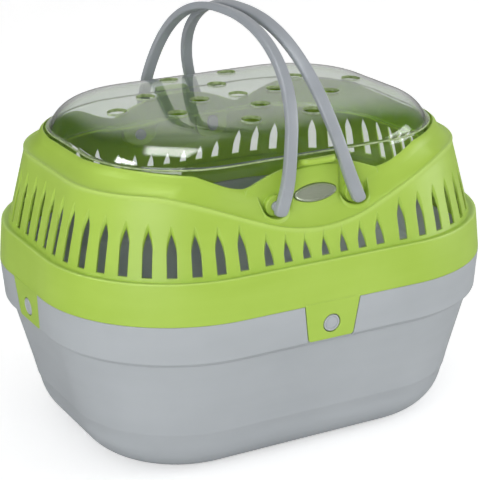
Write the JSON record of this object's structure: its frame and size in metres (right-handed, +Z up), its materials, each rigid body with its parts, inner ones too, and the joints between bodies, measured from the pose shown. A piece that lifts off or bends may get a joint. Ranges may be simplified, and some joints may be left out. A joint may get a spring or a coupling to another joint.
{
  "type": "plastic pet keeper",
  "caption": "Small-pet carrier with an oval tub, a slotted upper body, a clear domed lift-off lid and twin folding bail handles.",
  "frame": {"origin": "centre of the flat underside of the tub, on the surface that the keeper stands on", "axes": "+Z up; X along the length; -Y is the front, which carries the oval badge; the two handles swing about lines parallel to Y"},
  "size_m": [0.3, 0.235, 0.2717],
  "materials": {
    "tub_grey": "satin moulded polypropylene",
    "body_green": "satin moulded polypropylene",
    "lid_clear": "clear polished styrene",
    "badge_silver": "silver-coated, bare",
    "handle_grey": "satin moulded polypropylene"
  },
  "bodies": {
    "body": {"tub": "tub_grey", "grille_body": "body_green", "badge": "badge_silver"},
    "lid": {"lid": "lid_clear"},
    "handle_left": {"handle_left": "handle_grey"},
    "handle_right": {"handle_right": "handle_grey"}
  },
  "joints": [
    {"name": "lid_lift", "type": "slide", "parent": "body", "child": "lid", "axis": [0, 0, 1], "range_m": [0, 0.024]},
    {"name": "handle_left_swing", "type": "hinge", "parent": "body", "child": "handle_left", "pos_m": [-0.0274, 0, 0.1687], "axis": [0, 1, 0], "range_deg": [-82, 1.5]},
    {"name": "handle_right_swing", "type": "hinge", "parent": "body", "child": "handle_right", "pos_m": [0.0274, 0, 0.1687], "axis": [0, -1, 0], "range_deg": [-85.3, 0]}
  ]
}
